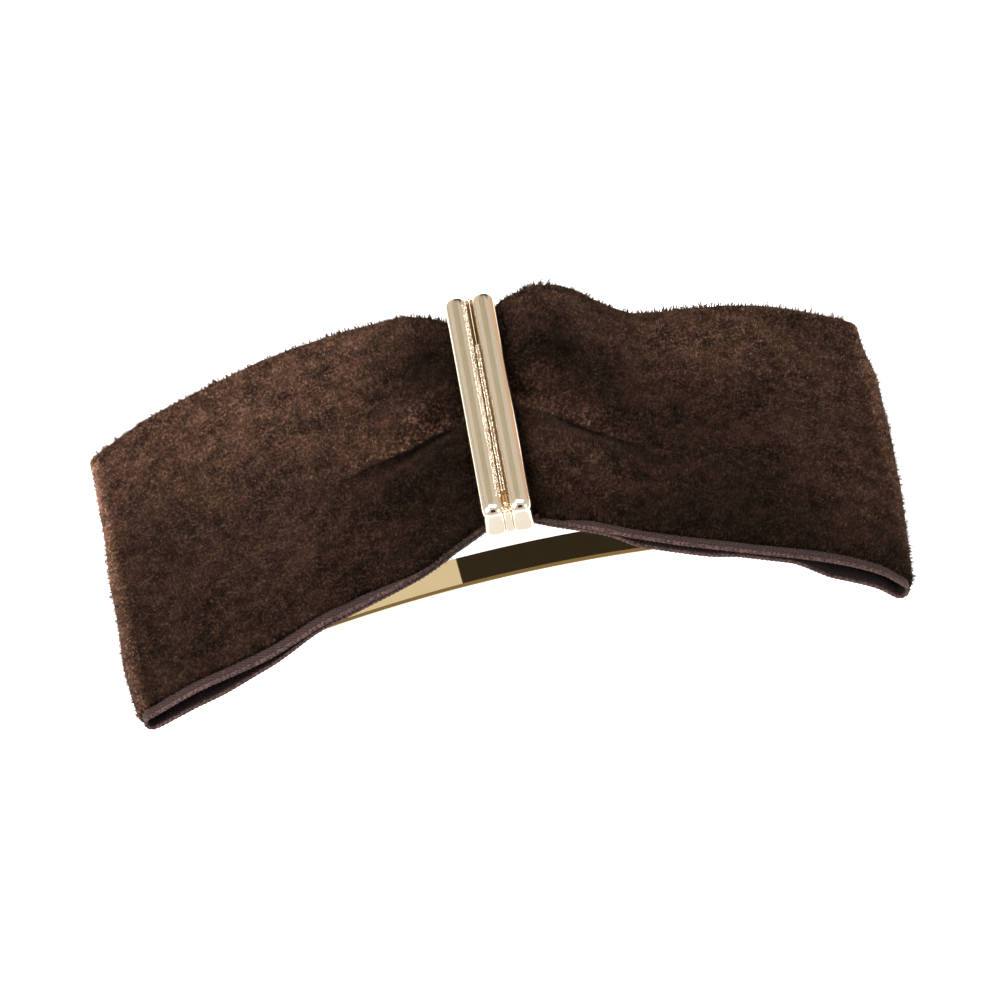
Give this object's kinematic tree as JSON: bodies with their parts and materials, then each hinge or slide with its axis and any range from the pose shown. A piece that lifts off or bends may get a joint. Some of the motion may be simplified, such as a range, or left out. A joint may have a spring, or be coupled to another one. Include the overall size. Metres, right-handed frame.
{
  "type": "bow barrette",
  "caption": "Ribbon bow barrette: two velvet loops pinched by a ribbed metal clasp, on an arched spring clip whose arm pivots at one end and latches at the other.",
  "frame": {"origin": "centre of the bounding box at its base: the clip's feet stand on Z = 0", "axes": "+X along the bow, towards the clip's hinge end; +Y across the ribbon; +Z out through the front of the clasp"},
  "size_m": [0.0884, 0.05, 0.0294],
  "materials": {
    "velvet": "brown velvet pile",
    "ribbon_weave": "dark plum-brown woven ground and selvedge",
    "thread": "dark brown sewing thread",
    "felt": "dark brown felt",
    "glue": "set hot-melt glue",
    "champagne_gold": "polished champagne-gold plating on cast zinc",
    "granulated_gold": "sparkling granulated gold",
    "yellow_gold": "mirror-polished yellow-gold plating on steel",
    "spring_steel": "plated spring steel"
  },
  "bodies": {
    "bow_and_base": {"left_loop": "velvet", "right_loop": "velvet", "ribbon_gather": "velvet", "gathering_thread": "thread", "backing_felt": "felt", "glue_pad": "glue", "clasp_bar": "champagne_gold", "clasp_centre_wire": "granulated_gold", "clasp_granule_band": "granulated_gold", "sewing_thread": "thread", "base_plate": "yellow_gold", "hinge_pin": "spring_steel", "tension_bar": "spring_steel", "tension_bar_rivet": "spring_steel", "catch_bracket": "spring_steel", "catch_rivet": "spring_steel"},
    "arm": {"locking_arm": "yellow_gold"},
    "front_ear": {"release_ear_front": "spring_steel"},
    "rear_ear": {"release_ear_rear": "spring_steel"}
  },
  "joints": [
    {"name": "arm_pivot", "type": "hinge", "parent": "bow_and_base", "child": "arm", "pos_m": [0.03343, 0.00216, 0.00183], "axis": [0.0645, -0.9979, 0], "range_deg": [0, 75]},
    {"name": "front_ear_pinch", "type": "hinge", "parent": "bow_and_base", "child": "front_ear", "pos_m": [-0.03335, -0.00341, 0.01128], "axis": [0.9979, 0.0645, 0], "range_deg": [0, 4], "stiffness_Nm_per_rad": 0.3},
    {"name": "rear_ear_pinch", "type": "hinge", "parent": "bow_and_base", "child": "rear_ear", "pos_m": [-0.03351, -0.00091, 0.01128], "axis": [-0.9979, -0.0645, 0], "range_deg": [0, 4], "stiffness_Nm_per_rad": 0.3}
  ]
}
